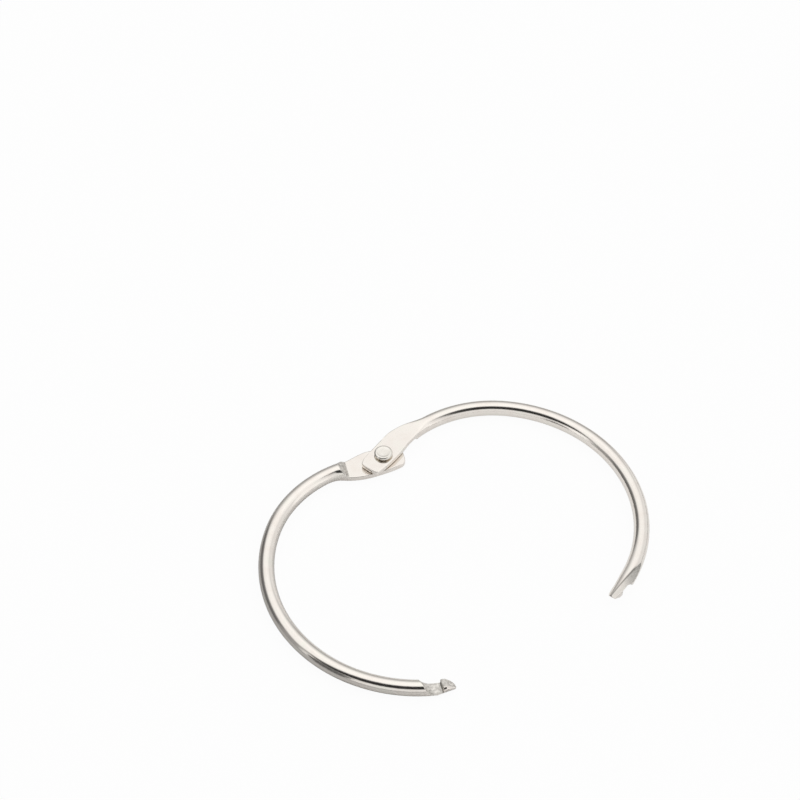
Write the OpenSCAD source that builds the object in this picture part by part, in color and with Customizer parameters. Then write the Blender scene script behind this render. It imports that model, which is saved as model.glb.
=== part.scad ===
// Loose-leaf binder ring, lying open on a flat surface.
// Two halves, pressed alike from the same wire, turn on one rivet. The hook half lies with its paddle low
// and its barb up; the socket half is turned over, so its paddle lies on top and its barb points down.
// When the ring is shut the two barbs stand behind each other and the tongues lap.
// Millimetres. The underside of the wire lies on z = 0, the hook half's sweep is centred on the Z axis
// and the rivet stands on +Y.

/* [Wire] */
// Diameter of the wire
wire_d = 3.6; // [3.2:0.1:4.4]
// Radius of the main sweep, to the middle of the wire
sweep_r = 33.8; // [31:0.1:45]
// Radius of the tighter bend beside the hinge, to the middle of the wire
bend_r = 27.2; // [25:0.1:30]
// Angle round the ring from the hinge to the start of the tighter bend
bend_deg = 60; // [50:1:70]
// Angle by which the socket half stands open
open_deg = 40; // [10:1:120]
// Length of the socket half's straight end
socket_straight = 8; // [4:0.1:10]

/* [Paddles] */
// Width of the hook half's paddle across its bowed sides
hook_paddle_w = 7.2; // [6.6:0.1:8]
// Width of the socket half's paddle across its bowed sides
socket_paddle_w = 6.4; // [6:0.1:7.5]
// Thickness of a paddle
paddle_t = 1.3; // [1:0.05:1.4]
// Room between the two paddles
paddle_gap = 0.2; // [0.1:0.05:0.5]
// Distance from the rivet to the foot of the step
paddle_len = 9; // [8.4:0.1:10]
// How far the hook half's paddle reaches past the rivet
hook_tip = 5; // [3.6:0.1:6.5]
// How far the socket half's paddle reaches past the rivet
socket_tip = 5.4; // [3.6:0.1:6.5]
// Angle by which the hook half's paddle is turned to the inside of the ring
hook_turn = 7; // [0:0.5:9]
// How far the socket half's paddle is set to the outside of the rivet
socket_out = 0.4; // [0:0.05:0.5]
// Offset of the rivet to the outside of the wire's own line
paddle_out = 0.6; // [0:0.1:1]
// Radius of the outer bowed side
outer_side_r = 22; // [20:0.5:30]
// Radius of the inner bowed side
inner_side_r = 42; // [34:0.5:60]
// Distance from the rivet to the widest place of the outer side
outer_belly = 1.2; // [0.5:0.1:2]
// Distance from the rivet to the widest place of the inner side
inner_belly = 2.4; // [1:0.1:3]
// Radius of the bowed end
tip_r = 16; // [12:0.5:20]
// Radius of the hook half's paddle corners
hook_corner_r = 1.2; // [0.6:0.05:1.4]
// Radius of the socket half's paddle corners
socket_corner_r = 0.5; // [0.4:0.05:1.2]
// Radius of the shoulder where a paddle narrows to the wire
shoulder_r = 24; // [22:0.5:28]
// How far the shoulder's round reaches past the foot of the step
shoulder_past = 13.8; // [13:0.1:15]
// Offset of the shoulder's round to the outside of the rivet
shoulder_out = 19; // [17:0.1:20]
// Chamfer along the edges of a paddle
paddle_edge = 0.2; // [0.05:0.05:0.4]
// Slope of the step between the wire and the paddle
step_deg = 45; // [35:1:60]
// Length over which the crest of the wire is pressed down to the paddle's face
press_len = 5.5; // [3:0.1:8]

/* [Rivet] */
// Diameter of the shank
rivet_d = 2.4; // [1.8:0.1:3]
// Diameter of the button head
head_d = 4.3; // [3.4:0.1:5]
// Height of the button head
head_h = 0.95; // [0.6:0.05:1.4]
// Radius of the head's rounded rim
head_rim = 0.5; // [0.2:0.05:0.55]
// Diameter of the flattened tail
tail_d = 3.4; // [3.2:0.1:4.4]
// Height of the flattened tail
tail_h = 0.3; // [0.15:0.05:0.35]

/* [Clasp] */
// Thickness of the tongue at its middle
tongue_t = 0.95; // [0.7:0.05:1.2]
// Length of the barb, from its back to the nose
barb_len = 3.1; // [2.6:0.1:4]
// How far the barb stands past the middle of the wire
barb_past = 0.45; // [0.2:0.05:0.5]
// Lean of the barb's face, higher at the outside of the ring
barb_lean = 11; // [0:1:12]
// Length of the slope from the barb's crest to the nose
nose_len = 2.2; // [1.4:0.1:2.4]
// Height of the blunt end of the nose
nose_h = 0.75; // [0.4:0.05:0.9]
// Length of the nose's taper on the outside of the ring
nose_out_len = 7.5; // [4:0.1:9]
// Depth of the nose's taper on the outside of the ring, at the tongue
nose_out = 1.7; // [1.2:0.05:1.8]
// Draft of the outside taper, which leaves the barb wider than the tongue
nose_draft = 12; // [0:1:20]
// Length of the round on the inside of the hook half's nose
hook_round_len = 1.9; // [1.6:0.1:4]
// Depth of the round on the inside of the hook half's nose
hook_round = 1.5; // [0.6:0.05:1.6]
// Length of the round on the inside of the socket half's nose
socket_round_len = 1.2; // [1:0.1:4]
// Depth of the round on the inside of the socket half's nose
socket_round = 0.6; // [0.3:0.05:1]
// Flat length of the notch behind the barb
notch_len = 1.8; // [1.2:0.1:2.6]
// Radius of the scooped shoulder at the root of the tongue
scoop_r = 2.6; // [2:0.1:4]
// How far the hook half's nose reaches past the ring's middle line
hook_past = 0.1; // [0:0.1:2]
// How far the socket half's nose reaches past the ring's middle line
socket_past = 3.5; // [2:0.1:4]

/* [Hidden] */

// Fineness of the round surfaces
$fn = 96;
// Clearance between the shank and the paddle that it is set in
rivet_set = 0.02;
// Running clearance between the shank and the paddle that turns on it
rivet_fit = 0.05;
// Play under the rivet's head
head_play = 0.05;
// How deep the stub of the wire lies inside the paddle
stub_in = 0.2;
// How much thinner a straight end is drawn than the swept wire
end_draw = 0.02;
// How far a straight end lies inside the swept wire
end_lap = 0.4;
// Overrun of the cutting shapes
overrun = 1;
// Bands in the head's rounded rim
rim_steps = 6;
// Colour of the nickel plating
nickel = [0.80, 0.78, 0.74];
// Colour of the rivet
rivet_nickel = [0.74, 0.72, 0.68];

// The middle of the wire is the plane from which a half's heights are counted
wire_r = wire_d / 2;
// Faces of a paddle
paddle_lo = paddle_gap / 2;
paddle_hi = paddle_lo + paddle_t;
// Centre of the tighter bend
bend_x = (sweep_r - bend_r) * sin(bend_deg);
bend_y = (sweep_r - bend_r) * cos(bend_deg);
// Line of the hinge: the rivet and the middle of both paddles
hinge_y = bend_y + bend_r + paddle_out;
// The stub of the wire ends well inside the paddle
stub_x = paddle_len - wire_r;
stub_deg = asin((stub_x - bend_x) / bend_r);
// Centre of the shoulder's round along the paddle
shoulder_x = paddle_len + shoulder_past - shoulder_r;
// Underside of the tongue, and the middle of the scoop's round
tongue_lo = wire_r - tongue_t;
scoop_x = -barb_len - notch_len;
// Reach of the cutting shapes across the wire
cut_w = hook_paddle_w + socket_paddle_w;
// A rounded corner stands this share nearer to its sides than a touching round would
corner_share = 0.96;

// Angle round the ring from the hinge to where the wire runs straight to its nose
function sweep_deg(past, straight) = 180 + (past - straight) / sweep_r * 180 / PI;
// Where the round of radius a about p crosses the round of radius b about q, on the left going from p to q
function crossing(p, a, q, b) =
    let (
        d = norm(q - p),
        u = (q - p) / d,
        along = (a * a - b * b + d * d) / (2 * d),
        aside = sqrt(a * a - along * along)
    )
    p + along * u + aside * [-u[1], u[0]];

// A length of the wire along a round of radius r, from the +X axis through an angle
module wire_arc(r, deg) {
    rotate_extrude(angle = deg)
        translate([r, 0])
            circle(d = wire_d);
}

// The bent wire of one half: the main sweep, its straight end and the tighter bend to the stub in the paddle
module bent_wire(past, straight) {
    rotate([0, 0, 90 - bend_deg]) {
        mirror([0, 1, 0])
            wire_arc(sweep_r, sweep_deg(past, straight) - bend_deg);
        translate([sweep_r - bend_r, 0, 0])
            wire_arc(bend_r, bend_deg - stub_deg);
    }
    if (straight > 0)
        at_nose(past, straight)
            rotate([0, -90, 0])
                cylinder(d = wire_d - end_draw, h = straight + end_lap);
}

// A profile drawn along the paddle and upwards, drawn out across it
module across(width) {
    rotate([90, 0, 0])
        linear_extrude(height = width, center = true)
            children();
}

// Below the step: the sloped cut that leaves only the paddle's upper half of the wire
module step_cut() {
    run = 1 / tan(step_deg);
    top = paddle_lo + stub_in;
    bottom = -wire_r - overrun;
    translate([0, hinge_y, 0])
        across(cut_w)
            polygon([
                [0, top],
                [paddle_len - stub_in * run, top],
                [paddle_len + (paddle_lo - bottom) * run, bottom],
                [0, bottom]
            ]);
}

// Above the paddle: the shallow pressed flat that runs out on the crest of the wire
module press_cut() {
    fall = (wire_r - paddle_hi) / press_len;
    far = paddle_len + press_len + overrun;
    translate([0, hinge_y, 0])
        across(cut_w)
            polygon([
                [0, paddle_hi - fall * paddle_len],
                [far, wire_r + fall * overrun],
                [far, wire_r + wire_d],
                [0, wire_r + wire_d]
            ]);
}

// The chamfered rim of a paddle at a radius r, as a list of points from its lower to its upper face
function paddle_rim(r) = [
    [r - paddle_edge, paddle_lo],
    [r, paddle_lo + paddle_edge],
    [r, paddle_hi - paddle_edge],
    [r - paddle_edge, paddle_hi]
];

// A round disc between the faces of the paddle, with chamfered rims
module paddle_disc(r) {
    rotate_extrude()
        polygon(concat([[0, paddle_lo]], paddle_rim(r), [[0, paddle_hi]]));
}

// What is cut from a corner of the paddle: a round of radius r about c, between the ways away from p and q
module corner_cut(r, c, p, q) {
    from = atan2(c[1] - p[1], c[0] - p[0]);
    to = atan2(c[1] - q[1], c[0] - q[0]);
    translate([c[0], c[1], 0])
        rotate([0, 0, from])
            rotate_extrude(angle = (to - from + 360) % 360)
                polygon(concat(
                    [[2 * r, paddle_lo - overrun], [r - paddle_edge, paddle_lo - overrun]],
                    paddle_rim(r),
                    [[r - paddle_edge, paddle_hi + overrun], [2 * r, paddle_hi + overrun]]
                ));
}

// The leaf-shaped paddle about the rivet: two bowed sides, a bowed end with rounded corners, the shoulder
module paddle(tip, width, out, corner_r) {
    outer = [outer_belly, out + width / 2 - outer_side_r];
    inner = [inner_belly, out - width / 2 + inner_side_r];
    end = [tip_r - tip, 0];
    inset = corner_share * corner_r;
    difference() {
        intersection() {
            translate([outer[0], outer[1], 0])
                paddle_disc(outer_side_r);
            translate([inner[0], inner[1], 0])
                paddle_disc(inner_side_r);
            translate([end[0], end[1], 0])
                paddle_disc(tip_r);
            translate([shoulder_x, shoulder_out, 0])
                paddle_disc(shoulder_r);
        }
        corner_cut(corner_r, crossing(outer, outer_side_r - inset, end, tip_r - inset), outer, end);
        corner_cut(corner_r, crossing(end, tip_r - inset, inner, inner_side_r - inset), end, inner);
    }
}

// Places its children at a nose: x along the wire and out of its end, y out of the ring
module at_nose(past, straight) {
    rotate([0, 0, -sweep_deg(past, straight)])
        translate([straight, sweep_r, 0])
            children();
}

// What is cut from under the tongue: the scooped shoulder and the notch behind the barb
module notch_cut() {
    across(cut_w) {
        translate([scoop_x, tongue_lo - scoop_r])
            circle(r = scoop_r);
        translate([scoop_x, -wire_r - overrun])
            square([notch_len, tongue_lo + wire_r + overrun]);
    }
}

// What is cut from under the barb: its leaning face and the slope of the nose
module barb_cut() {
    bottom = -wire_d - overrun;
    slope = (wire_r - nose_h + barb_past) / nose_len;
    rotate([-barb_lean, 0, 0])
        across(cut_w)
            polygon([
                [scoop_x, -barb_past],
                [-nose_len, -barb_past],
                [overrun, slope * (nose_len + overrun) - barb_past],
                [overrun, bottom],
                [scoop_x, bottom]
            ]);
}

// What is cut from the outside of the nose, a straight taper drafted about the tongue
module nose_taper_cut() {
    fall = nose_out / nose_out_len;
    translate([0, 0, wire_r])
        rotate([nose_draft, 0, 0])
            linear_extrude(height = cut_w, center = true)
                polygon([
                    [-nose_out_len - overrun, wire_r + fall * overrun],
                    [overrun, wire_r - nose_out - fall * overrun],
                    [overrun, wire_d],
                    [-nose_out_len - overrun, wire_d]
                ]);
}

// What is cut from the inside of the nose, a round of a given depth at its end
module nose_round_cut(len, depth) {
    side_r = (len * len + depth * depth) / (2 * depth);
    mirror([0, 1, 0])
        linear_extrude(height = cut_w, center = true)
            difference() {
                translate([-len, 0])
                    square([len + overrun, wire_d]);
                translate([-len, wire_r - side_r])
                    circle(r = side_r);
            }
}

// One half of the ring, shut, on the +X side, with the middle of the wire at z = 0; its paddle is a child
module ring_half(past, straight, round_len, round_in, clearance) {
    difference() {
        union() {
            difference() {
                bent_wire(past, straight);
                step_cut();
                press_cut();
            }
            translate([0, hinge_y, 0])
                children();
        }
        translate([0, hinge_y, 0])
            cylinder(d = rivet_d + 2 * clearance, h = cut_w, center = true);
        at_nose(past, straight) {
            notch_cut();
            barb_cut();
            nose_taper_cut();
            nose_round_cut(round_len, round_in);
        }
    }
}

// The half that lies with its paddle low and its barb up
module hook_half() {
    color(nickel)
        translate([0, 0, wire_r])
            rotate([0, 180, 0])
                ring_half(hook_past, 0, hook_round_len, hook_round, rivet_set)
                    rotate([0, 0, -hook_turn])
                        paddle(hook_tip, hook_paddle_w, 0, hook_corner_r);
}

// The half whose paddle lies on top, turned open about the rivet
module socket_half() {
    color(nickel)
        translate([0, hinge_y, wire_r])
            rotate([0, 0, open_deg])
                translate([0, -hinge_y, 0])
                    ring_half(socket_past, socket_straight, socket_round_len, socket_round, rivet_fit)
                        paddle(socket_tip, socket_paddle_w, socket_out, socket_corner_r);
}

// The rivet: flattened tail, shank and button head with a rounded rim
module rivet() {
    tail_top = -paddle_hi;
    head_lo = paddle_hi + head_play;
    head_top = head_lo + head_h;
    head_r = head_d / 2;
    rim = [for (i = [0:rim_steps]) let (a = 90 * i / rim_steps)
        [head_r - head_rim + head_rim * cos(a), head_top - head_rim + head_rim * sin(a)]];
    color(rivet_nickel)
        translate([0, hinge_y, wire_r])
            rotate_extrude()
                polygon(concat(
                    [[0, tail_top - tail_h], [tail_d / 2 - tail_h / 2, tail_top - tail_h],
                     [tail_d / 2, tail_top - tail_h / 2], [tail_d / 2, tail_top],
                     [rivet_d / 2, tail_top], [rivet_d / 2, head_lo], [head_r, head_lo]],
                    rim,
                    [[0, head_top]]
                ));
}

hook_half();
socket_half();
rivet();
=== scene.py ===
"""An open binder ring on a white table: two pressed wire halves that turn on one rivet."""
import math
from collections import namedtuple

import bmesh
import bpy
import numpy as np
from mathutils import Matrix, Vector


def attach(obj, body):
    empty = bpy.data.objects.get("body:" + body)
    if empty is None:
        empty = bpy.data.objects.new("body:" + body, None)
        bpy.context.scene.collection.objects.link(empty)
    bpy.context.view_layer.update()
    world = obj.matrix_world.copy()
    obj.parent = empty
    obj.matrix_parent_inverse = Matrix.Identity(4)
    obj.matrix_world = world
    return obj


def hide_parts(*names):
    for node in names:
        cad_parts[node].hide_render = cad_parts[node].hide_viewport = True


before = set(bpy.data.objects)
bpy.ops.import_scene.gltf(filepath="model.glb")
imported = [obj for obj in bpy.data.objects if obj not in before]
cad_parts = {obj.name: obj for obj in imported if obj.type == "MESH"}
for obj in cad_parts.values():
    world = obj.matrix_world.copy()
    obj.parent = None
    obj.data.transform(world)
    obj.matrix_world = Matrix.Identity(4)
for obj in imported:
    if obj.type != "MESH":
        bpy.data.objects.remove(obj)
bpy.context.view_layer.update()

MM = 0.001

# Wire, in millimetres and degrees
WIRE_D = 3.6
WIRE_R = WIRE_D / 2
SWEEP_R = 33.8
BEND_R = 27.2
BEND_DEG = 60.0
OPEN_DEG = 40.0

# Paddles
PADDLE_LO = 0.1
PADDLE_HI = 1.4
PADDLE_LEN = 9.0
PADDLE_OUT = 0.6
OUTER_SIDE_R = 22.0
INNER_SIDE_R = 42.0
OUTER_BELLY = 1.2
INNER_BELLY = 2.4
TIP_R = 16.0
SHOULDER_R = 24.0
SHOULDER_X, SHOULDER_OUT = -1.2, 19.0
PRESS_LEN = 5.5
STEP_DEG = 45.0

# Rounds that the press and the plating leave
SIDE_ROUND, SIDE_ROUND_SHARE = 0.24, 0.95
SIDE_END_DEG, CORNER_END_DEG = 22.0, 50.0
END_ROUND = 0.3
NECK_ROUND = 0.9
FOOT_ROUND = 0.1
FLAT_ROUND = 3.0
BOW_LEN = 2.5
WIDEN_START = 2.0
MELT_LEAD, MELT_LEN = 0.2, 1.8
FLANGE_START, FLANGE_END = 9.5, 14.5
TURN_START, TURN_END = 9.5, 14.0
STEP_SKIN, FLAT_SKIN = 0.3, 0.05

# Clasp
TONGUE_T = 0.95
BARB_LEN = 3.1
BARB_PAST = 0.45
BARB_LEAN_DEG = 11.0
NOSE_LEN = 2.2
NOSE_H = 0.75
NOSE_OUT_LEN = 7.5
NOSE_OUT = 1.7
TAPER_LEAD = 1.0
NOTCH_LEN = 1.8
SCOOP_R = 2.6
SCOOP_SKEW = 0.3
SHEAR_ROUND = 0.1
BARB_STEP, SKEW_STEP = 0.1, 0.5
CREST_SHARE, CREST_ROUND_SHARE, CREST_DEG, CREST_LIMIT = 0.4, 1.09, 75.0, 0.98
LEAST_WIDTH = 0.2
CHAMFER_LEN, CHAMFER_IN = 12.0, 0.77
CHAMFER_START_DEG, CHAMFER_END_DEG = 35.0, 60.0
CHAMFER_ROUND = 0.03
CLASP_LEN, CLASP_TURN = 13.0, 0.5
NOSE_ROUND = 0.3
NOSE_BLUNT = 0.55

# Where the clasp's finishes begin, and the painted dark line of shade along the chamfer's edge and the barb's
# back wall
POLISH_FROM, GROUND_FROM = 0.02, 0.01
GROUND_FADE, GROUND_FADE_START, GROUND_FADE_END = 0.85, -8.0, -3.0
SHADE_LINE_BACK, SHADE_LINE_W, SHADE_LINE_START, SHADE_LINE_FULL = 0.02, 0.11, 0.1, 0.25
WALL_SHADE_BACK, WALL_SHADE_W = 0.05, 0.09

# Rivet
RIVET_D = 2.4
RIVET_FIT = 0.05
RIVET_SET = 0.02
HEAD_D = 4.3
HEAD_LO, HEAD_HI = 3.25, 4.2
HEAD_RIM = 0.5
COLLAR_D, COLLAR_H, COLLAR_EDGE = 3.1, 0.22, 0.05
TAIL_D = 3.4
TAIL_LO, TAIL_HI = 0.1, 0.4
TAIL_FLAT_SHARE = 0.6
# Edge of the tail, in from its side and up from its end; underside of the head, past the collar, in from the
# rim and up; faint ring and dimple on the head, as shares of its radius and depths
TAIL_EDGE = ((0.15, 0.02), (0.04, 0.08), (0.0, 0.16))
UNDER_PAST, UNDER_IN, UNDER_UP = 0.15, 0.1, (0.08, 0.1, 0.18)
HEAD_TOP = ((0.72, 0.0), (0.69, 0.015), (0.66, 0.04), (0.45, 0.045), (0.2, 0.06), (0.0, 0.065))

# What differs between the halves: the reach of the paddle past the rivet, its half widths to the outside and
# inside of the ring, its turn about the rivet and its corner radius; how far the nose reaches past the ring's
# middle line, the length of the wire's straight end, the round on the inside of the nose, how far the outside
# of the nose is coined round (1) or ground flat (0), and the draft of that side
Half = namedtuple("Half", "tip out_half in_half turn_deg corner_r past straight round_len round_in coin "
                          "draft_deg")
HOOK = Half(tip=5.0, out_half=3.6, in_half=3.6, turn_deg=-7.0, corner_r=1.2, past=0.1, straight=0.0,
            round_len=1.9, round_in=1.5, coin=1.0, draft_deg=12.0)
SOCKET = Half(tip=5.4, out_half=3.6, in_half=2.8, turn_deg=0.0, corner_r=0.5, past=3.5, straight=8.0,
              round_len=1.2, round_in=0.6, coin=0.0, draft_deg=1.0)

# Fineness: points round the wire, the lathe and the head's rim; where the spacing of the sections along the
# wire changes, and that spacing from the paddle's tip to the nose; steps and softness of the shear's cut
POINTS_ROUND = 96
LATHE_SEGMENTS = 96
RIM_POINTS = 10
TIP_RUN, STEP_LEAD, NECK_END = 1.2, 0.6, 17.0
CHAMFER_RUN, CUT_RUN = 12.5, 8.5
SPACING = (0.05, 0.3, 0.08, 0.25, 0.8, 0.2, 0.07)
CUT_GRID, CUT_MARGIN = 0.01, 1.0
CUT_SOFT, CUT_SOFT_REACH = 6.0, 20

# Lie of the wire's line, from the sizes above
BEND = math.radians(BEND_DEG)
STRAIGHT = (SWEEP_R - BEND_R) * math.sin(BEND)
LINE_Y = (SWEEP_R - BEND_R) * math.cos(BEND) + BEND_R
HINGE_Y = LINE_Y + PADDLE_OUT
SWEEP_START = STRAIGHT + BEND_R * BEND
FALL = (WIRE_R - PADDLE_HI) / PRESS_LEN
PRESSED_END = PADDLE_LEN + 2 * PRESS_LEN
TONGUE_LO = WIRE_R - TONGUE_T
SCOOP_X = -BARB_LEN - NOTCH_LEN


# Small rules of shape

def ease(lo, hi, x):
    """Rises smoothly from 0 at lo to 1 at hi."""
    t = np.clip((x - lo) / (hi - lo), 0, 1)
    return t * t * (3 - 2 * t)


def soft_max(a, b, k):
    """The larger of two, with a round of reach k where they meet."""
    h = np.maximum(k - np.abs(a - b), 0) / k
    return np.maximum(a, b) + h * h * k / 4


def soft_min(a, b, k):
    """The smaller of two, with a round of reach k where they meet."""
    return -soft_max(-a, -b, k)


def quarter_inset(depth, radius):
    """How far a rounded edge stands back at a depth behind its end."""
    t = np.clip(1 - depth / radius, 0, 1)
    return radius * (1 - np.sqrt(1 - t * t))


# The wire's line

def sweep_angle(half):
    """Angle through which the main sweep turns before the wire runs straight to its nose."""
    return math.pi - BEND + (half.past - half.straight) / SWEEP_R


def nose_length(half):
    """Length of the wire from the rivet to the nose."""
    return SWEEP_START + SWEEP_R * sweep_angle(half) + half.straight


def wire_line(s, half):
    """Place and direction of the wire's middle at a length s from the rivet."""
    bent = np.clip((s - STRAIGHT) / BEND_R, 0, BEND)
    swept = np.clip((s - SWEEP_START) / SWEEP_R, 0, sweep_angle(half))
    rest = np.maximum(s - nose_length(half) + half.straight, 0)
    turn = BEND + swept
    x = np.minimum(s, STRAIGHT) + BEND_R * np.sin(bent) + SWEEP_R * (np.sin(turn) - math.sin(BEND))
    y = LINE_Y - BEND_R * (1 - np.cos(bent)) - SWEEP_R * (math.cos(BEND) - np.cos(turn))
    return x + rest * np.cos(turn), y - rest * np.sin(turn), bent + swept


def wire_stations(half):
    """Lengths along the wire at which its section is set out, close where the press and shear worked."""
    tip, nose = half.tip, nose_length(half)
    ends = (-tip, -tip + TIP_RUN, PADDLE_LEN - STEP_LEAD, PADDLE_LEN + MELT_LEN, NECK_END,
            nose - CHAMFER_RUN, nose - CUT_RUN, nose)
    runs = [np.linspace(a, b, max(2, round((b - a) / step)), endpoint=False)
            for a, b, step in zip(ends, ends[1:], SPACING)]
    return np.concatenate(runs + [[nose]])


class Nodes:
    """Short words for setting out a node tree."""

    def __init__(self, tree):
        self.tree = tree

    def add(self, kind, **settings):
        """Adds a node with its settings."""
        node = self.tree.nodes.new(kind)
        for key, value in settings.items():
            setattr(node, key, value)
        return node

    def put(self, source, target):
        """Sets a socket to a number, or joins it to another socket."""
        if isinstance(source, bpy.types.NodeSocket):
            self.tree.links.new(source, target)
        else:
            target.default_value = source

    def math(self, operation, a, b=None):
        """Works out one or two values."""
        node = self.add("ShaderNodeMath", operation=operation)
        self.put(a, node.inputs[0])
        if b is not None:
            self.put(b, node.inputs[1])
        return node.outputs[0]


BENDER_INPUTS = (("Wire diameter", WIRE_D), ("Straight length", STRAIGHT), ("Bend radius", BEND_R),
                 ("Bend angle", BEND), ("Sweep radius", SWEEP_R), ("Line height", LINE_Y),
                 ("Sweep angle", math.pi))


def wire_bender():
    """Geometry nodes that bend a straight rod to the ring's line and give it the wire's round section."""
    tree = bpy.data.node_groups.new("wire_bender", "GeometryNodeTree")
    tree.interface.new_socket("Geometry", in_out="INPUT", socket_type="NodeSocketGeometry")
    for name, value in BENDER_INPUTS:
        tree.interface.new_socket(name, in_out="INPUT", socket_type="NodeSocketFloat").default_value = value
    tree.interface.new_socket("Points round", in_out="INPUT", socket_type="NodeSocketInt")
    tree.interface.new_socket("Finish", in_out="INPUT", socket_type="NodeSocketMaterial")
    tree.interface.new_socket("Geometry", in_out="OUTPUT", socket_type="NodeSocketGeometry")
    n = Nodes(tree)
    given = n.add("NodeGroupInput").outputs
    result = n.add("NodeGroupOutput")
    place = n.add("GeometryNodeInputPosition")
    split = n.add("ShaderNodeSeparateXYZ")
    n.put(place.outputs[0], split.inputs[0])
    s = split.outputs["X"]
    straight, bend_r, bend = given["Straight length"], given["Bend radius"], given["Bend angle"]
    sweep_r, full_sweep = given["Sweep radius"], given["Sweep angle"]
    past = n.math("SUBTRACT", s, straight)
    bent = n.math("MAXIMUM", n.math("MINIMUM", n.math("DIVIDE", past, bend_r), bend), 0.0)
    beyond = n.math("SUBTRACT", past, n.math("MULTIPLY", bend_r, bend))
    swept = n.math("MINIMUM", n.math("MAXIMUM", n.math("DIVIDE", beyond, sweep_r), 0.0), full_sweep)
    turn = n.math("ADD", bend, swept)
    rest = n.math("MAXIMUM", n.math("SUBTRACT", beyond, n.math("MULTIPLY", sweep_r, full_sweep)), 0.0)
    x_bend = n.math("MULTIPLY", bend_r, n.math("SINE", bent))
    x_sweep = n.math("MULTIPLY", sweep_r, n.math("SUBTRACT", n.math("SINE", turn), n.math("SINE", bend)))
    x = n.math("ADD", n.math("ADD", n.math("MINIMUM", s, straight), x_bend), x_sweep)
    x = n.math("ADD", x, n.math("MULTIPLY", rest, n.math("COSINE", turn)))
    y_bend = n.math("MULTIPLY", bend_r, n.math("SUBTRACT", n.math("COSINE", bent), 1.0))
    y_sweep = n.math("MULTIPLY", sweep_r, n.math("SUBTRACT", n.math("COSINE", turn), n.math("COSINE", bend)))
    y = n.math("ADD", n.math("ADD", given["Line height"], y_bend), y_sweep)
    y = n.math("SUBTRACT", y, n.math("MULTIPLY", rest, n.math("SINE", turn)))
    bent_place = n.add("ShaderNodeCombineXYZ")
    n.put(x, bent_place.inputs["X"])
    n.put(y, bent_place.inputs["Y"])
    mark = n.add("GeometryNodeStoreNamedAttribute", data_type="FLOAT", domain="POINT")
    mark.inputs["Name"].default_value = "along"
    n.put(given["Geometry"], mark.inputs["Geometry"])
    n.put(s, mark.inputs["Value"])
    move = n.add("GeometryNodeSetPosition")
    n.put(mark.outputs[0], move.inputs["Geometry"])
    n.put(bent_place.outputs[0], move.inputs["Position"])
    line = n.add("GeometryNodeMeshToCurve")
    n.put(move.outputs[0], line.inputs[0])
    upright = n.add("GeometryNodeSetCurveNormal", mode="Z_UP")
    n.put(line.outputs[0], upright.inputs["Curve"])
    section = n.add("GeometryNodeCurvePrimitiveCircle")
    n.put(given["Points round"], section.inputs["Resolution"])
    n.put(n.math("MULTIPLY", given["Wire diameter"], 0.5), section.inputs["Radius"])
    sweep = n.add("GeometryNodeCurveToMesh")
    n.put(upright.outputs[0], sweep.inputs["Curve"])
    n.put(section.outputs[0], sweep.inputs["Profile Curve"])
    smooth = n.add("GeometryNodeSetShadeSmooth")
    n.put(sweep.outputs[0], smooth.inputs["Geometry"])
    real = n.add("GeometryNodeRealizeInstances")
    n.put(smooth.outputs[0], real.inputs[0])
    finish = n.add("GeometryNodeSetMaterial")
    n.put(real.outputs[0], finish.inputs["Geometry"])
    n.put(given["Finish"], finish.inputs["Material"])
    n.put(finish.outputs[0], result.inputs[0])
    return tree


def bent_wire(name, half, bender, material):
    """A plain mesh of the bent round wire, in millimetres, from a straight rod cut at the stations."""
    stations = wire_stations(half)
    rod = bpy.data.meshes.new(name)
    rod.from_pydata([(s, 0, 0) for s in stations], [(i, i + 1) for i in range(len(stations) - 1)], [])
    piece = bpy.data.objects.new(name, rod)
    bpy.context.scene.collection.objects.link(piece)
    modifier = piece.modifiers.new("bender", "NODES")
    modifier.node_group = bender
    sockets = {item.name: item.identifier for item in bender.interface.items_tree if item.in_out == "INPUT"}
    for key, value in BENDER_INPUTS:
        modifier[sockets[key]] = sweep_angle(half) if key == "Sweep angle" else value
    modifier[sockets["Points round"]] = POINTS_ROUND
    modifier[sockets["Finish"]] = material
    ready = piece.evaluated_get(bpy.context.evaluated_depsgraph_get())
    mesh = bpy.data.meshes.new_from_object(ready)
    mesh.name = name
    piece.modifiers.remove(modifier)
    piece.data = mesh
    bpy.data.meshes.remove(rod)
    return piece


# Press and shear

def leaf_side(x, y, nx, ny, belly, height, turn_deg, radius, outward):
    """Distance from the wire's line to a bowed side of the paddle, across the wire."""
    turn = math.radians(turn_deg)
    px = x - belly * math.cos(turn) + height * math.sin(turn)
    py = y - HINGE_Y - belly * math.sin(turn) - height * math.cos(turn)
    b = nx * px + ny * py
    rest = b * b - (px * px + py * py - radius * radius)
    reach = -b + outward * np.sqrt(np.maximum(rest, 0))
    return np.where(rest > 0, outward * reach, 0.0)


def pressed_section(phi, side_out, side_in, lo, hi):
    """A flat bar's section with rounded sides, at an angle phi round the wire."""
    middle, half = (side_out - side_in) / 2, (side_out + side_in) / 2
    mid_z, half_z = (lo + hi) / 2, (hi - lo) / 2
    rnd = np.minimum(SIDE_ROUND, SIDE_ROUND_SHARE * half_z)
    side_end, corner_end = math.radians(SIDE_END_DEG), math.radians(CORNER_END_DEG)
    fold = np.abs(np.arctan2(np.sin(phi), np.abs(np.cos(phi))))
    bend = np.clip((fold - side_end) / (corner_end - side_end), 0, 1) * math.pi / 2
    up = np.clip(fold / side_end, 0, 1) * (half_z - rnd) + rnd * np.sin(bend)
    in_run = np.clip((math.pi / 2 - fold) / (math.pi / 2 - corner_end), 0, 1)
    out = np.where(fold > corner_end, in_run * (half - rnd), half - rnd + rnd * np.cos(bend))
    return middle + np.sign(np.cos(phi)) * out, mid_z + np.sign(np.sin(phi)) * up


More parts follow.
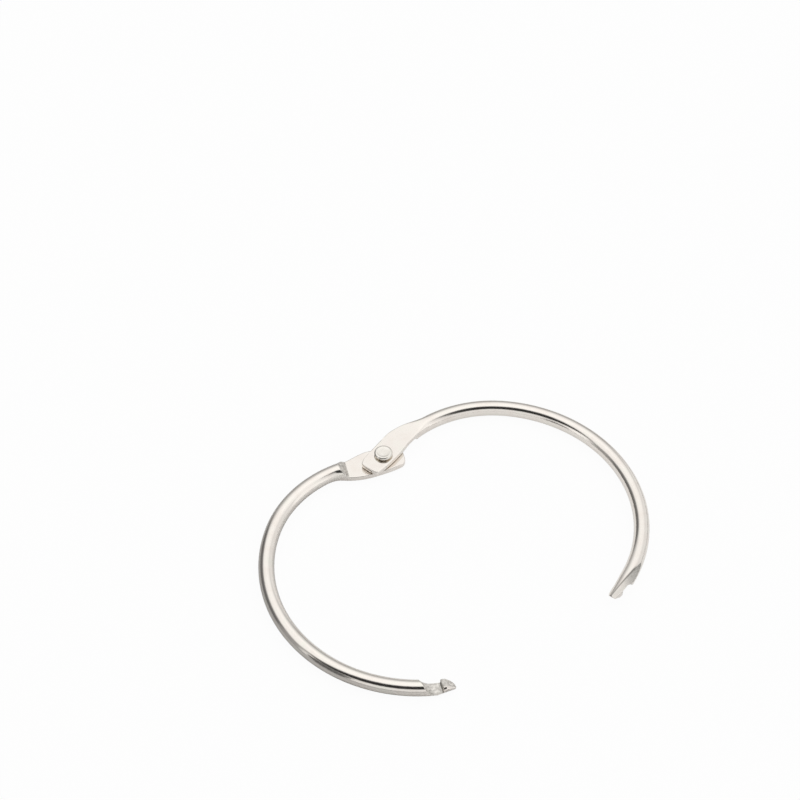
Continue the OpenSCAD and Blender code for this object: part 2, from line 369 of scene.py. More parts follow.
def paddle_and_wire(s, phi, half):
    """Section across the wire with its pressed paddle, the step and the pressed flat; tells where these lie."""
    line_x, line_y, turn = wire_line(s, half)
    near = s < PRESSED_END
    x = np.where(near, line_x, PRESSED_END)
    lean = turn * ease(TURN_START, TURN_END, x)
    nx, ny = np.sin(lean), np.cos(lean)

    def side(belly, height, radius, outward):
        """Reach of one bowed side of the paddle, nothing along the round wire."""
        return near * leaf_side(line_x, line_y, nx, ny, belly, height, half.turn_deg, radius, outward)

    outer = side(OUTER_BELLY, half.out_half - OUTER_SIDE_R, OUTER_SIDE_R, 1)
    inner = side(INNER_BELLY, INNER_SIDE_R - half.in_half, INNER_SIDE_R, -1)
    shoulder = side(SHOULDER_X, SHOULDER_OUT, SHOULDER_R, -1)
    inner = np.where(x > 0, soft_min(inner, shoulder, NECK_ROUND), inner)
    corner = quarter_inset(x + half.tip, half.corner_r)
    wire_side = WIRE_R * ease(WIDEN_START, PADDLE_LEN, x)
    side_out = soft_max(outer - corner, wire_side, NECK_ROUND)
    side_in = soft_max(inner - corner, wire_side, NECK_ROUND)
    past = x - PADDLE_LEN
    hi = PADDLE_HI + FALL * soft_max(past - FLAT_ROUND / 4, 0.0, FLAT_ROUND)
    lo = PADDLE_LO - soft_max(past, 0.0, FOOT_ROUND) * math.tan(math.radians(STEP_DEG))
    blunt = quarter_inset(x + half.tip, END_ROUND)
    upper = np.sin(phi) > 0
    floor = np.where(upper, PADDLE_LO, np.maximum(lo, -WIRE_R))
    flat_n, flat_z = pressed_section(phi, side_out, side_in, floor + blunt, np.minimum(hi, WIRE_R) - blunt)
    round_n = np.where(np.cos(phi) > 0, side_out, side_in) * np.cos(phi) / np.cos(turn - lean)
    round_z = soft_min(soft_max(WIRE_R * np.sin(phi), lo, FOOT_ROUND), hi, FOOT_ROUND)
    melt = np.where(upper, ease(FLANGE_START, FLANGE_END, x),
                    ease(PADDLE_LEN - MELT_LEAD, PADDLE_LEN + MELT_LEN, x))
    n = flat_n + melt * (round_n - flat_n)
    z = flat_z + melt * (round_z - flat_z)
    across = np.clip(line_y + n - HINGE_Y, -TIP_R, TIP_R)
    end_bow = TIP_R - np.sqrt(TIP_R * TIP_R - across * across)
    bowed = ease(-half.tip + BOW_LEN, -half.tip, x) * end_bow
    step_face = (past > 0) & (z < lo + STEP_SKIN) & (lo > -WIRE_R)
    pressed = 1 - ease(PADDLE_LEN, PADDLE_LEN + PRESS_LEN, x) * (z < hi - FLAT_SKIN)
    pressed = np.where(past < PRESS_LEN, pressed, 0)
    return line_x + bowed + n * nx, line_y + n * ny, z, n, step_face, pressed


def shear_height(x):
    """Height of the shear's cut along the clasp, x counted back from the nose."""
    grid = np.arange(-CLASP_LEN - CUT_MARGIN, CUT_MARGIN, CUT_GRID)
    behind = np.minimum(grid - SCOOP_X, 0)
    scoop = TONGUE_LO - SCOOP_R + np.sqrt(np.maximum(SCOOP_R ** 2 - behind ** 2, 0))
    slope = (TONGUE_LO + TONGUE_T - NOSE_H + BARB_PAST) / NOSE_LEN
    barb = -BARB_PAST + slope * np.maximum(grid + NOSE_LEN, 0)
    cut = np.where(grid < SCOOP_X - SCOOP_R, -2 * WIRE_R, np.where(grid < -BARB_LEN, scoop, barb))
    reach = np.arange(-CUT_SOFT_REACH, CUT_SOFT_REACH + 1)
    weight = np.exp(-(reach / CUT_SOFT) ** 2)
    cut = np.convolve(cut, weight / weight.sum(), mode="same")
    return np.interp(x, grid, cut)


def outer_taper(x, z, half):
    """Where the straight taper on the outside of the nose lies, wider at the barb than at the tongue."""
    draft = math.radians(half.draft_deg)
    face = WIRE_R - NOSE_OUT * (x + NOSE_OUT_LEN) / NOSE_OUT_LEN
    return face / math.cos(draft) + math.tan(draft) * (WIRE_R - z)


def inner_round(x, half):
    """Where the round on the inside of the nose lies."""
    radius = (half.round_len ** 2 + half.round_in ** 2) / (2 * half.round_in)
    ahead = np.maximum(x + half.round_len, 0)
    return WIRE_R - radius + np.sqrt(np.maximum(radius ** 2 - ahead ** 2, 0))


def clasp_place(back, n, half):
    """Place along the clasp, counted back from the nose, and how far the sweep has fallen away there."""
    angle = np.clip((back - half.straight) / SWEEP_R, 0, CLASP_TURN)
    x = -np.minimum(back, half.straight) - (SWEEP_R + n) * np.sin(angle)
    return np.where(back < CLASP_LEN, x, -CLASP_LEN), SWEEP_R * (1 - np.cos(angle))


def ground_chamfer(x, n, z, half):
    """The long flat ground on the outer edge of the tongue; tells where it lies and where the painted dark line
    of shade runs along its edge.
    """
    along = np.clip((x + CHAMFER_LEN) / CHAMFER_LEN, 0, 1)
    tilt = np.radians(CHAMFER_START_DEG + (CHAMFER_END_DEG - CHAMFER_START_DEG) * along)
    over = n * np.cos(tilt) + z * np.sin(tilt) - WIRE_R + CHAMFER_IN * along
    cut = soft_max(over, 0.0, CHAMFER_ROUND) * (along > 0) * (1 - half.coin)
    fade = 1 - GROUND_FADE * ease(GROUND_FADE_START, GROUND_FADE_END, x)
    ground = np.where(cut > GROUND_FROM, fade, 0.0)
    # Painted shade: a dark line along the chamfer's edge, growing in strength from the chamfer's start
    edge = np.exp(-((over + SHADE_LINE_BACK) / SHADE_LINE_W) ** 2) * (np.arctan2(z, n) > tilt)
    painted_shade = edge * (1 - half.coin) * ease(SHADE_LINE_START, SHADE_LINE_FULL, along)
    return n - cut * np.cos(tilt), z - cut * np.sin(tilt), ground, painted_shade


def cut_height(back, n, half):
    """Height of the shear's cut, scooped at the notch, leaning on the barb; tells where its round crest lies."""
    x, sag = clasp_place(back, n, half)
    on_barb = ease(-BARB_LEN - BARB_STEP, -BARB_LEN + BARB_STEP, x)
    skewed = x - SCOOP_SKEW * n * (1 - ease(SCOOP_X - SKEW_STEP, SCOOP_X + SKEW_STEP, x))
    width = np.clip(outer_taper(x, 0, half) + sag, LEAST_WIDTH, WIRE_R)
    crest, radius = CREST_SHARE * width, CREST_ROUND_SHARE * width
    start = radius * math.cos(math.radians(CREST_DEG))
    over = np.clip(n - crest, 0, CREST_LIMIT * radius - start) * half.coin
    round_off = np.sqrt(radius ** 2 - start ** 2) - np.sqrt(radius ** 2 - (start + over) ** 2)
    lean = math.tan(math.radians(BARB_LEAN_DEG))
    polished = on_barb * (over > POLISH_FROM)
    return shear_height(skewed) + on_barb * (round_off - lean * (n - over)), polished


def lay_on_cut(n, z, back, half):
    """Lays the part of each section that the shear takes away along the cut, from edge to edge."""
    cut, _ = cut_height(back, n, half)
    above = np.where(back < CLASP_LEN, z - cut, 1.0)
    sheared = np.zeros_like(n)
    for row in np.flatnonzero((above < 0).any(axis=1)):
        under = np.flatnonzero(above[row] < 0)
        first, last = under[0], under[-1]
        edges = []
        for inside, outside in ((first, first - 1), (last, last + 1)):
            share = above[row, outside] / (above[row, outside] - above[row, inside])
            edges.append(n[row, outside] + share * (n[row, inside] - n[row, outside]))
        lie = slice(first, last + 1)
        n[row, lie] = np.linspace(edges[0], edges[1], last - first + 1)
        z[row, lie], polished = cut_height(back[row, lie], n[row, lie], half)
        sheared[row, lie] = 1 - polished
        for edge in (first, last):
            near = np.arange(max(edge - 1, 1), min(edge + 2, n.shape[1] - 1))
            for line in (n, z):
                line[row, near] = (line[row, near - 1] + 2 * line[row, near] + line[row, near + 1]) / 4
    return n, z, sheared


def sheared_clasp(s, n, z, half):
    """The hooked end: scooped shoulder, notch, leaning barb and tapered nose; tells where its finishes and its
    painted shade lie.
    """
    back = nose_length(half) - s
    x, sag = clasp_place(back, n, half)
    n, z, ground, painted_shade = ground_chamfer(x, n, z, half)
    outer = np.where(x > -NOSE_OUT_LEN - TAPER_LEAD, outer_taper(x, z, half) + sag, 2 * WIRE_R)
    inner = np.where(x > -half.round_len, inner_round(x, half) - sag, 2 * WIRE_R)
    coined = np.where(n > 0, n * np.clip((outer_taper(x, 0, half) + sag) / WIRE_R, 0, 1), n)
    n = half.coin * np.minimum(coined, outer) + (1 - half.coin) * soft_min(n, outer, SHEAR_ROUND)
    n = soft_max(n, -inner, SHEAR_ROUND)
    n, z, sheared = lay_on_cut(n, z, back, half)
    x, _ = clasp_place(back, n, half)
    # Painted shade: a dark line along the barb's back wall, where the shear cut it
    painted_shade = np.maximum(painted_shade, sheared * np.exp(-((x + BARB_LEN + WALL_SHADE_BACK) / WALL_SHADE_W) ** 2))
    shrink = 1 - NOSE_BLUNT * ease(-NOSE_ROUND, 0, x) ** 2
    mid_n, mid_z = (half.round_in - NOSE_OUT) / 2, WIRE_R - NOSE_H / 2
    return mid_n + (n - mid_n) * shrink, mid_z + (z - mid_z) * shrink, sheared, ground, painted_shade


def close_ends(mesh, first, last):
    """Adds a face over each open end of the wire."""
    count = len(mesh.polygons)
    loops = [list(first)[::-1], list(last)]
    mesh.polygons.add(2)
    start = len(mesh.loops)
    mesh.loops.add(sum(len(ring) for ring in loops))
    for k, ring in enumerate(loops):
        mesh.polygons[count + k].loop_start = start
        for j, v in enumerate(ring):
            mesh.loops[start + j].vertex_index = int(v)
        start += len(ring)
    mesh.update(calc_edges=True)


def add_mark(mesh, name, rings, values):
    """Writes a number or a place for every point, for the finish to read."""
    vector = values.ndim == 3
    flat = np.zeros((len(mesh.vertices), 3) if vector else len(mesh.vertices), np.float32)
    flat[rings] = values
    mark = mesh.attributes.new(name, "FLOAT_VECTOR" if vector else "FLOAT", "POINT")
    mark.data.foreach_set("vector" if vector else "value", flat.ravel())


def ring_half(name, half, bender, material, flip, open_deg):
    """One half of the ring: wire bent by the nodes, then pressed, sheared and laid in its place."""
    piece = bent_wire(name, half, bender, material)
    mesh = piece.data
    place = np.zeros(len(mesh.vertices) * 3, np.float32)
    mesh.vertices.foreach_get("co", place)
    place = place.reshape(-1, 3).astype(float)
    s = np.zeros(len(mesh.vertices), np.float32)
    mesh.attributes["along"].data.foreach_get("value", s)
    s = s.astype(float)
    x, y, turn = wire_line(s, half)
    out = (place[:, 0] - x) * np.sin(turn) + (place[:, 1] - y) * np.cos(turn)
    phi = np.arctan2(place[:, 2], out)
    rings = np.lexsort(((phi - math.pi / 2) % (2 * math.pi), s)).reshape(-1, POINTS_ROUND)
    s, phi, turn = s[rings], phi[rings], turn[rings]
    px, py, z, n, step_face, pressed = paddle_and_wire(s, phi, half)
    n_cut, z, sheared, ground, painted_shade = sheared_clasp(s, n.copy(), z, half)
    px, py = px + (n_cut - n) * np.sin(turn), py + (n_cut - n) * np.cos(turn)
    add_mark(mesh, "wire_place", rings, np.stack([s, n_cut, z], -1))
    add_mark(mesh, "pressed", rings, np.clip(pressed, 0, 1))
    add_mark(mesh, "sheared", rings, np.where(step_face, 1.0, sheared))
    add_mark(mesh, "ground", rings, ground)
    # Painted shade, for the finish to darken
    add_mark(mesh, "painted_shade", rings, painted_shade)
    if flip:
        px, z = -px, -z
    swing = math.radians(open_deg)
    qx, qy = px, py - HINGE_Y
    laid = np.stack([qx * math.cos(swing) - qy * math.sin(swing),
                     HINGE_Y + qx * math.sin(swing) + qy * math.cos(swing), z + WIRE_R], -1)
    place[rings] = laid * MM
    mesh.vertices.foreach_set("co", place.astype(np.float32).ravel())
    close_ends(mesh, rings[0], rings[-1])
    face_outwards(mesh)
    return piece


def drill(piece, radius):
    """Drills the rivet's hole through a paddle."""
    bm = bmesh.new()
    bmesh.ops.create_cone(bm, cap_ends=True, segments=LATHE_SEGMENTS, radius1=radius * MM,
                          radius2=radius * MM, depth=4 * WIRE_D * MM)
    bmesh.ops.translate(bm, verts=bm.verts, vec=(0, HINGE_Y * MM, WIRE_R * MM))
    bit = bpy.data.meshes.new("drill")
    bm.to_mesh(bit)
    bm.free()
    tool = bpy.data.objects.new("drill", bit)
    bpy.context.scene.collection.objects.link(tool)
    modifier = piece.modifiers.new("hole", "BOOLEAN")
    modifier.operation, modifier.solver, modifier.object = "DIFFERENCE", "MANIFOLD", tool
    mesh = bpy.data.meshes.new_from_object(piece.evaluated_get(bpy.context.evaluated_depsgraph_get()))
    piece.modifiers.remove(modifier)
    mesh.name, piece.data = piece.name, mesh
    bpy.data.objects.remove(tool)
    bpy.data.meshes.remove(bit)


def face_outwards(mesh):
    """Turns every face of a closed mesh outwards."""
    bm = bmesh.new()
    bm.from_mesh(mesh)
    bmesh.ops.recalc_face_normals(bm, faces=bm.faces)
    if bm.calc_volume(signed=True) < 0:
        bmesh.ops.reverse_faces(bm, faces=bm.faces)
    for face in bm.faces:
        face.smooth = True
    bm.to_mesh(mesh)
    bm.free()


def turned_rivet(name, material):
    """The rivet, turned about its axis: tail, shank, collar and button head."""
    head_r, tail_r, shank_r, collar_r = HEAD_D / 2, TAIL_D / 2, RIVET_D / 2, COLLAR_D / 2
    under = HEAD_LO + COLLAR_H
    tail = [(0.0, TAIL_LO), (TAIL_FLAT_SHARE * tail_r, TAIL_LO)]
    tail += [(tail_r - back, TAIL_LO + up) for back, up in TAIL_EDGE] + [(tail_r, TAIL_HI)]
    shank = [(shank_r, TAIL_HI), (shank_r, HEAD_LO)]
    collar = [(collar_r - COLLAR_EDGE, HEAD_LO), (collar_r, HEAD_LO + COLLAR_EDGE), (collar_r, under)]
    head = list(zip((collar_r + UNDER_PAST, head_r - UNDER_IN, head_r), (under + up for up in UNDER_UP)))
    rim = [(head_r - HEAD_RIM + HEAD_RIM * math.cos(a), HEAD_HI - HEAD_RIM + HEAD_RIM * math.sin(a))
           for a in np.linspace(0, math.pi / 2, RIM_POINTS)]
    top = [(share * head_r, HEAD_HI - depth) for share, depth in HEAD_TOP]
    profile = tail + shank + collar + head + rim + top
    turns = [2 * math.pi * k / LATHE_SEGMENTS for k in range(LATHE_SEGMENTS)]
    verts, faces = [], []
    for r, z in profile:
        if r == 0:
            verts.append((0, HINGE_Y, z))
        else:
            verts += [(r * math.cos(a), HINGE_Y + r * math.sin(a), z) for a in turns]
    rings = len(profile) - 2
    for i in range(rings - 1):
        for k in range(LATHE_SEGMENTS):
            a, b = 1 + i * LATHE_SEGMENTS + k, 1 + i * LATHE_SEGMENTS + (k + 1) % LATHE_SEGMENTS
            faces.append((a, b, b + LATHE_SEGMENTS, a + LATHE_SEGMENTS))
    last = len(verts) - 1
    for k in range(LATHE_SEGMENTS):
        k2 = (k + 1) % LATHE_SEGMENTS
        faces.append((0, 1 + k2, 1 + k))
        faces.append((last, last - LATHE_SEGMENTS + k, last - LATHE_SEGMENTS + k2))
    mesh = bpy.data.meshes.new(name)
    mesh.from_pydata([tuple(c * MM for c in v) for v in verts], [], faces)
    mesh.materials.append(material)
    face_outwards(mesh)
    piece = bpy.data.objects.new(name, mesh)
    bpy.context.scene.collection.objects.link(piece)
    return piece


# Finishes

def shader_base(name):
    """A new material, its nodes and its main shader."""
    material = bpy.data.materials.new(name)
    material.use_nodes = True
    tree = material.node_tree
    return material, Nodes(tree), tree.nodes["Principled BSDF"]


def noise(n, vector, scale, detail, rough):
    """A fine grain between 0 and 1."""
    node = n.add("ShaderNodeTexNoise")
    n.put(vector, node.inputs["Vector"])
    node.inputs["Scale"].default_value = scale
    node.inputs["Detail"].default_value = detail
    node.inputs["Roughness"].default_value = rough
    return node.outputs["Fac"]


def ramp(n, fac, stops):
    """Tints along a scale, each given with its place on it."""
    node = n.add("ShaderNodeValToRGB")
    n.put(fac, node.inputs["Fac"])
    node.color_ramp.elements[0].position, node.color_ramp.elements[0].color = stops[0]
    node.color_ramp.elements[1].position, node.color_ramp.elements[1].color = stops[-1]
    for place, colour in stops[1:-1]:
        node.color_ramp.elements.new(place).color = colour
    return node.outputs["Color"]


def blend(n, fac, a, b, kind="FLOAT"):
    """Goes from a number or tint a to another b as fac goes from 0 to 1."""
    node = n.add("ShaderNodeMix", data_type=kind)
    first, second, result = {"FLOAT": (2, 3, 0), "RGBA": (6, 7, 2)}[kind]
    n.put(fac, node.inputs[0])
    n.put(a, node.inputs[first])
    n.put(b, node.inputs[second])
    return node.outputs[result]


def grey(v):
    """A grey, as a colour."""
    return (v, v, v, 1.0)


def grain_range(lo, hi):
    """Two greys, for the low and the high parts of a grain."""
    return [(GRAIN_LOW, grey(lo)), (GRAIN_HIGH, grey(hi))]


def relief_on(n, bsdf, height, strength):
    """Lays a fine relief on a finish."""
    bump = n.add("ShaderNodeBump")
    bump.inputs["Strength"].default_value = strength
    bump.inputs["Distance"].default_value = RELIEF_M
    n.put(height, bump.inputs["Height"])
    n.put(bump.outputs[0], bsdf.inputs["Normal"])


# Tints of the plating along its grain; roughness at the low and the high parts of a grain; grains as scale,
# detail and roughness of a noise; depth and strength of the relief, and the share of specks in it
GRAIN_LOW, GRAIN_HIGH = 0.3, 0.7
NICKEL_TINTS = [(0.3, (0.78, 0.725, 0.67, 1)), (0.52, (0.81, 0.765, 0.715, 1)), (0.72, (0.79, 0.765, 0.70, 1))]
CUT_TINTS = [(0.32, (0.50, 0.475, 0.44, 1)), (0.66, (0.88, 0.85, 0.80, 1))]
GROUND_TINTS = [(0.3, (0.27, 0.26, 0.24, 1)), (0.7, (0.62, 0.60, 0.56, 1))]
# Colour and strength of the painted dark line of shade along the chamfer's edge and the barb's back wall
PAINTED_SHADE_TINT, PAINTED_SHADE_DEPTH = (0.10, 0.095, 0.085, 1), 0.85
RIVET_TINTS = [(0.3, (0.72, 0.69, 0.63, 1)), (0.7, (0.80, 0.77, 0.72, 1))]
WIRE_ROUGH, FLAT_ROUGH, RIVET_ROUGH = grain_range(0.10, 0.17), grain_range(0.06, 0.12), grain_range(0.12, 0.22)
GROUND_ROUGH, CUT_ROUGH = 0.2, 0.5
DRAW_STRETCH, DRAW_GRAIN = (0.12, 3.0, 3.0), (6.0, 4.0, 0.6)
CLOUD_GRAIN, SPECK_GRAIN = (330.0, 3.0, 0.55), (1700.0, 3.0, 0.6)
RIVET_CLOUD, RIVET_SPECK = (900.0, 3.0, 0.55), (4200.0, 2.0, 0.5)
RELIEF_M = 0.00002
WIRE_RELIEF, RIVET_RELIEF = 0.25, 0.2
FLAT_SPECK, CUT_SPECK = 0.25, 3.0


def plated_wire():
    """Bright nickel: draw lines along the wire, mottling where it is pressed, matte where it is sheared, and a
    painted dark line of shade along the chamfer's edge and the barb's back wall.
    """
    material, n, bsdf = shader_base("plated_wire")
    bsdf.inputs["Metallic"].default_value = 1.0
    place = n.add("ShaderNodeAttribute", attribute_name="wire_place").outputs["Vector"]
    pressed, sheared, ground, painted_shade = (n.add("ShaderNodeAttribute", attribute_name=mark).outputs["Fac"]
                                      for mark in ("pressed", "sheared", "ground", "painted_shade"))
    stretch = n.add("ShaderNodeMapping")
    n.put(place, stretch.inputs["Vector"])
    stretch.inputs["Scale"].default_value = DRAW_STRETCH
    draw_lines = noise(n, stretch.outputs["Vector"], *DRAW_GRAIN)
    body = n.add("ShaderNodeTexCoord").outputs["Object"]
    cloud = noise(n, body, *CLOUD_GRAIN)
    speck = noise(n, body, *SPECK_GRAIN)
    tint = blend(n, ground, ramp(n, cloud, NICKEL_TINTS), ramp(n, draw_lines, GROUND_TINTS), "RGBA")
    tint = blend(n, sheared, tint, ramp(n, speck, CUT_TINTS), "RGBA")
    # Painted shade: darkens the tint along the chamfer's edge and the barb's back wall
    tint = blend(n, n.math("MULTIPLY", painted_shade, PAINTED_SHADE_DEPTH), tint, PAINTED_SHADE_TINT, "RGBA")
    n.put(tint, bsdf.inputs["Base Color"])
    rough = blend(n, pressed, ramp(n, draw_lines, WIRE_ROUGH), ramp(n, cloud, FLAT_ROUGH))
    rough = blend(n, ground, rough, GROUND_ROUGH)
    n.put(blend(n, sheared, rough, CUT_ROUGH), bsdf.inputs["Roughness"])
    mottled = n.math("ADD", cloud, n.math("MULTIPLY", speck, FLAT_SPECK))
    relief = blend(n, pressed, draw_lines, mottled)
    relief = blend(n, sheared, relief, n.math("MULTIPLY", speck, CUT_SPECK))
    relief_on(n, bsdf, relief, WIRE_RELIEF)
    return material


def plated_rivet():
    """The rivet's nickel, a little greyer and softer than the wire's."""
    material, n, bsdf = shader_base("plated_rivet")
    bsdf.inputs["Metallic"].default_value = 1.0
    body = n.add("ShaderNodeTexCoord").outputs["Object"]
    speck = noise(n, body, *RIVET_SPECK)
    n.put(ramp(n, noise(n, body, *RIVET_CLOUD), RIVET_TINTS), bsdf.inputs["Base Color"])
    n.put(ramp(n, speck, RIVET_ROUGH), bsdf.inputs["Roughness"])
    relief_on(n, bsdf, speck, RIVET_RELIEF)
    return material


# Table, light and camera, set out in the photograph's own directions

VIEW_TURN = math.radians(14.2)
VIEW_SHIFT = (3.75, -49.8)
VIEW_ELEVATION = math.radians(49.0)
VIEW_DISTANCE = 534.0
LENS_MM, SENSOR_MM = 100.0, 36.0
CLIP_M = (0.01, 20.0)

# The table's white to the camera, its colour, and its tone in the metal's reflections by distance from a spot:
# painted shade that darkens it further from the ring, and a painted white glow near a second spot
TABLE_HALF, TABLE_DROP = 3.0, 2e-5
TABLE_WHITE = 0.95
TABLE_COLOUR = 0.95
TABLE_ROUGH, TABLE_GLOSS = 0.6, 0.2
PAINTED_SHADE_SPOT, TABLE_PAINTED_SHADE = (32, -48, 0), [(0.04, grey(1.0)), (0.085, grey(0.4))]
PAINTED_GLOW_SPOT, PAINTED_GLOW_FADE, PAINTED_GLOW = (32, -30, 0), (0.055, 0.03), 0.5

# The room's light by height, and where it is brighter or darker: ranges of a direction's reach to the right, to
# the near side and up, from none to full
ROOM_HEIGHTS = [(0.0, grey(0.42)), (0.3, grey(0.55)), (0.5, grey(0.75)), (0.7, grey(1.1)), (0.8, grey(1.14)),
                (1.0, grey(1.16))]
SIDE_RIGHT, SIDE_NEAR, SIDE_LIGHT = (0.25, 0.55), (0.45, 0.8), 0.92
FLANK_ACROSS, FLANK_NEAR, FLANK_LIGHT = (0.45, 0.8), (-0.15, 0.05), 1.15
LEFT_ACROSS, LEFT_NEAR = -0.95, -0.3
LEFT_TURN, LEFT_UP, LEFT_SHADE = (0.74, 0.86), (0.65, 0.45), 0.68
LEAST_REACH = 0.01
BEHIND_NEAR, BEHIND_RIGHT = (0.05, 0.3), (0.66, 0.45)
BEHIND_LOW, BEHIND_HIGH, BEHIND_SHADE = (0.5, 0.6), (0.99, 0.94), 0.97

# The lamp overhead and the dark card at the side
LAMP_PLACE, LAMP_TARGET, LAMP_SIZE, LAMP_POWER = (60, 150, 700), (10, -30, 0), (0.5, 0.5), 0.06
CARD_PLACE, CARD_TARGET, CARD_R = (-65, -117, 19), (-10, -85, 0), 0.0225
CARD_TINT, CARD_ROUGH, CARD_SIDES = (0.16, 0.16, 0.16, 1), 0.9, 48


def from_view(x, y, z):
    """A place given right, away and up from the middle of the picture, in the ring's frame, in metres."""
    dx, dy = x - VIEW_SHIFT[0], y - VIEW_SHIFT[1]
    c, s = math.cos(VIEW_TURN), math.sin(VIEW_TURN)
    return ((dx * c + dy * s) * MM, (-dx * s + dy * c) * MM, z * MM)


def aim(obj, target):
    """Turns a lamp, card or camera to face a place."""
    obj.rotation_euler = (Vector(target) - obj.location).to_track_quat("-Z", "Y").to_euler()


def rise(n, value, lo, hi):
    """Rises from 0 where a value is lo to 1 where it is hi, or falls where hi is the smaller."""
    node = n.add("ShaderNodeMapRange", interpolation_type="SMOOTHSTEP")
    n.put(value, node.inputs["Value"])
    least, most = (0.0, 1.0) if lo < hi else (1.0, 0.0)
    node.inputs["From Min"].default_value, node.inputs["From Max"].default_value = min(lo, hi), max(lo, hi)
    node.inputs["To Min"].default_value, node.inputs["To Max"].default_value = least, most
    return node.outputs[0]


def distance_from(n, spot):
    """Distance of a surface's points from a spot given in the picture's directions."""
    node = n.add("ShaderNodeVectorMath", operation="DISTANCE")
    n.put(n.add("ShaderNodeTexCoord").outputs["Object"], node.inputs[0])
    node.inputs[1].default_value = from_view(*spot)
    return node.outputs["Value"]


def white_table():
    """A white table: white to the camera but for its soft shadow, with painted shade that darkens it away from
    the ring in the metal's reflections and a painted white glow near the ring in them.
    """
    material, n, bsdf = shader_base("white_table")
    bsdf.inputs["Roughness"].default_value = TABLE_ROUGH
    bsdf.inputs["Specular IOR Level"].default_value = TABLE_GLOSS
    light = n.add("ShaderNodeLightPath").outputs
    # Painted shade: in reflections the table's colour darkens with distance from the ring
    mirrored_painted_shade = ramp(n, distance_from(n, PAINTED_SHADE_SPOT), TABLE_PAINTED_SHADE)
    n.put(blend(n, light["Is Glossy Ray"], grey(TABLE_COLOUR), mirrored_painted_shade, "RGBA"), bsdf.inputs["Base Color"])
    # Painted light: in reflections the table glows white near the ring
    painted_glow = n.math("MULTIPLY", rise(n, distance_from(n, PAINTED_GLOW_SPOT), *PAINTED_GLOW_FADE), PAINTED_GLOW)
    painted_glow = n.math("MULTIPLY", light["Is Glossy Ray"], painted_glow)
    mix = n.add("ShaderNodeMixShader")
    n.put(n.math("MAXIMUM", n.math("MULTIPLY", light["Is Camera Ray"], TABLE_WHITE), painted_glow), mix.inputs[0])
    n.put(bsdf.outputs[0], mix.inputs[1])
    n.put(n.add("ShaderNodeEmission").outputs[0], mix.inputs[2])
    n.put(mix.outputs[0], material.node_tree.nodes["Material Output"].inputs["Surface"])
    mesh = bpy.data.meshes.new("table")
    corners = [(x * TABLE_HALF, y * TABLE_HALF, -TABLE_DROP) for x, y in ((-1, -1), (1, -1), (1, 1), (-1, 1))]
    mesh.from_pydata(corners, [], [(0, 1, 2, 3)])
    mesh.materials.append(material)
    table = bpy.data.objects.new("table", mesh)
    bpy.context.scene.collection.objects.link(table)


def dark_card(name, place, target, radius):
    """A dark card that only the metal's reflections see."""
    material, n, bsdf = shader_base(name)
    bsdf.inputs["Base Color"].default_value = CARD_TINT
    bsdf.inputs["Roughness"].default_value = CARD_ROUGH
    mesh = bpy.data.meshes.new(name)
    turns = np.linspace(0, 2 * math.pi, CARD_SIDES, endpoint=False)
    ring = [(radius * math.cos(a), radius * math.sin(a), 0) for a in turns]
    mesh.from_pydata(ring, [], [tuple(range(CARD_SIDES))])
    mesh.materials.append(material)
    card = bpy.data.objects.new(name, mesh)
    card.location = place
    bpy.context.scene.collection.objects.link(card)
    aim(card, target)
    card.visible_camera = card.visible_diffuse = card.visible_shadow = False


def soft_box(name, place, target, size, power):
    """A wide soft lamp."""
    lamp = bpy.data.lights.new(name, "AREA")
    lamp.shape = "RECTANGLE"
    lamp.size, lamp.size_y = size
    lamp.energy = power
    obj = bpy.data.objects.new(name, lamp)
    obj.location = place
    bpy.context.scene.collection.objects.link(obj)
    aim(obj, target)


def shaded(n, level, where, depth):
    """Darkens a level of light by a share of its strength where it is shaded."""
    return n.math("MULTIPLY", level, n.math("SUBTRACT", 1.0, n.math("MULTIPLY", where, depth)))


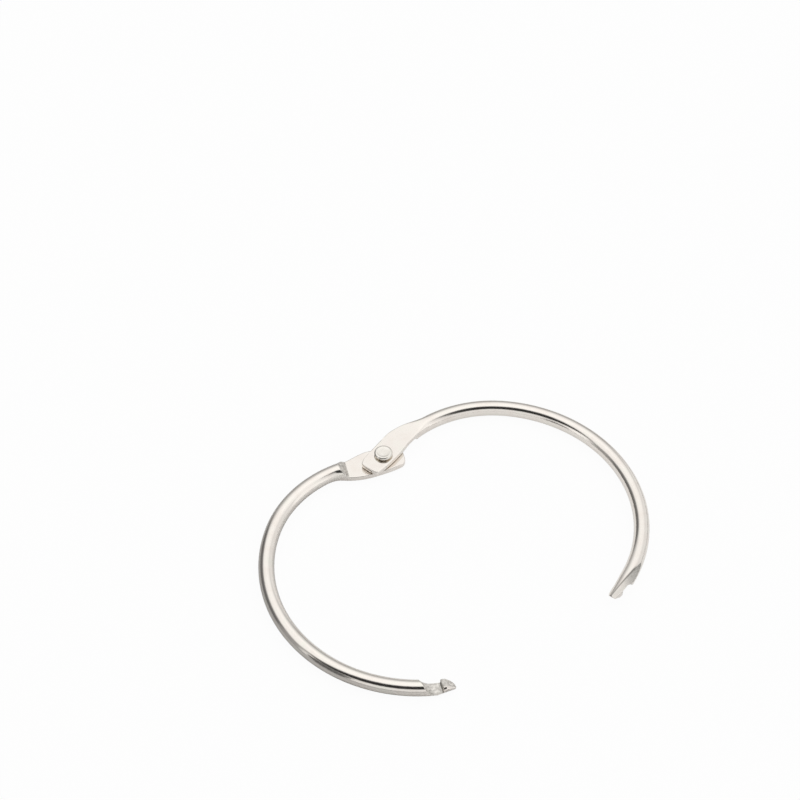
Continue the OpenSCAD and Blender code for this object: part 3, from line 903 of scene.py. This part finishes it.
def soft_room():
    """Even room light, palest overhead and darkest low on the left; white where the camera sees it."""
    world = bpy.data.worlds.new("soft_room")
    bpy.context.scene.world = world
    world.use_nodes = True
    n = Nodes(world.node_tree)
    back = world.node_tree.nodes["Background"]
    turn = n.add("ShaderNodeMapping")
    turn.inputs["Rotation"].default_value = (0, 0, VIEW_TURN)
    n.put(n.add("ShaderNodeTexCoord").outputs["Generated"], turn.inputs["Vector"])
    split = n.add("ShaderNodeSeparateXYZ")
    n.put(turn.outputs["Vector"], split.inputs[0])
    right, up = split.outputs["X"], split.outputs["Z"]
    near = n.math("MULTIPLY", split.outputs["Y"], -1.0)

    side = n.math("MAXIMUM", rise(n, right, *SIDE_RIGHT), rise(n, near, *SIDE_NEAR))
    level = n.math("MAXIMUM", ramp(n, up, ROOM_HEIGHTS), n.math("MULTIPLY", side, SIDE_LIGHT))
    across = n.math("ABSOLUTE", right)
    flank = n.math("MULTIPLY", rise(n, across, *FLANK_ACROSS), rise(n, near, *FLANK_NEAR))
    level = n.math("MAXIMUM", level, n.math("MULTIPLY", flank, FLANK_LIGHT))

    left = n.math("ADD", n.math("MULTIPLY", right, LEFT_ACROSS), n.math("MULTIPLY", near, LEFT_NEAR))
    flat_reach = n.math("MAXIMUM", n.math("SUBTRACT", 1.0, n.math("MULTIPLY", up, up)), LEAST_REACH)
    left_turn = n.math("DIVIDE", left, n.math("SQRT", flat_reach))
    dark_left = n.math("MULTIPLY", rise(n, left_turn, *LEFT_TURN), rise(n, up, *LEFT_UP))
    level = shaded(n, level, dark_left, LEFT_SHADE)

    behind_camera = n.math("MULTIPLY", rise(n, near, *BEHIND_NEAR), rise(n, right, *BEHIND_RIGHT))
    heights = n.math("MULTIPLY", rise(n, up, *BEHIND_LOW), rise(n, up, *BEHIND_HIGH))
    level = shaded(n, level, n.math("MULTIPLY", behind_camera, heights), BEHIND_SHADE)

    seen = n.add("ShaderNodeLightPath").outputs["Is Camera Ray"]
    n.put(blend(n, seen, level, grey(1.0), "RGBA"), back.inputs["Color"])


def camera():
    """The camera at the photograph's angle."""
    lens = bpy.data.cameras.new("photo_view")
    lens.lens, lens.sensor_width = LENS_MM, SENSOR_MM
    lens.clip_start, lens.clip_end = CLIP_M
    obj = bpy.data.objects.new("photo_view", lens)
    back, height = VIEW_DISTANCE * math.cos(VIEW_ELEVATION), VIEW_DISTANCE * math.sin(VIEW_ELEVATION)
    obj.location = from_view(0, -back, height)
    bpy.context.scene.collection.objects.link(obj)
    aim(obj, from_view(0, 0, 0))
    bpy.context.scene.camera = obj


# Making

bpy.context.scene.view_settings.view_transform = "Standard"
nickel_wire, nickel_rivet = plated_wire(), plated_rivet()
bender = wire_bender()
hook = ring_half("hook_half_wire", HOOK, bender, nickel_wire, True, 0.0)
socket = ring_half("socket_half_wire", SOCKET, bender, nickel_wire, False, OPEN_DEG)
drill(hook, RIVET_D / 2 + RIVET_SET)
drill(socket, RIVET_D / 2 + RIVET_FIT)
rivet = turned_rivet("button_rivet", nickel_rivet)
for piece, node, body, slot in ((hook, "hook_half", "hook_side", "wire_nickel"),
                                (socket, "socket_half", "socket_side", "wire_nickel"),
                                (rivet, "rivet", "hook_side", "rivet_nickel")):
    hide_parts(node)
    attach(piece, body)

white_table()
soft_room()
soft_box("overhead_box", from_view(*LAMP_PLACE), from_view(*LAMP_TARGET), LAMP_SIZE, LAMP_POWER)
dark_card("side_card", from_view(*CARD_PLACE), from_view(*CARD_TARGET), CARD_R)
camera()
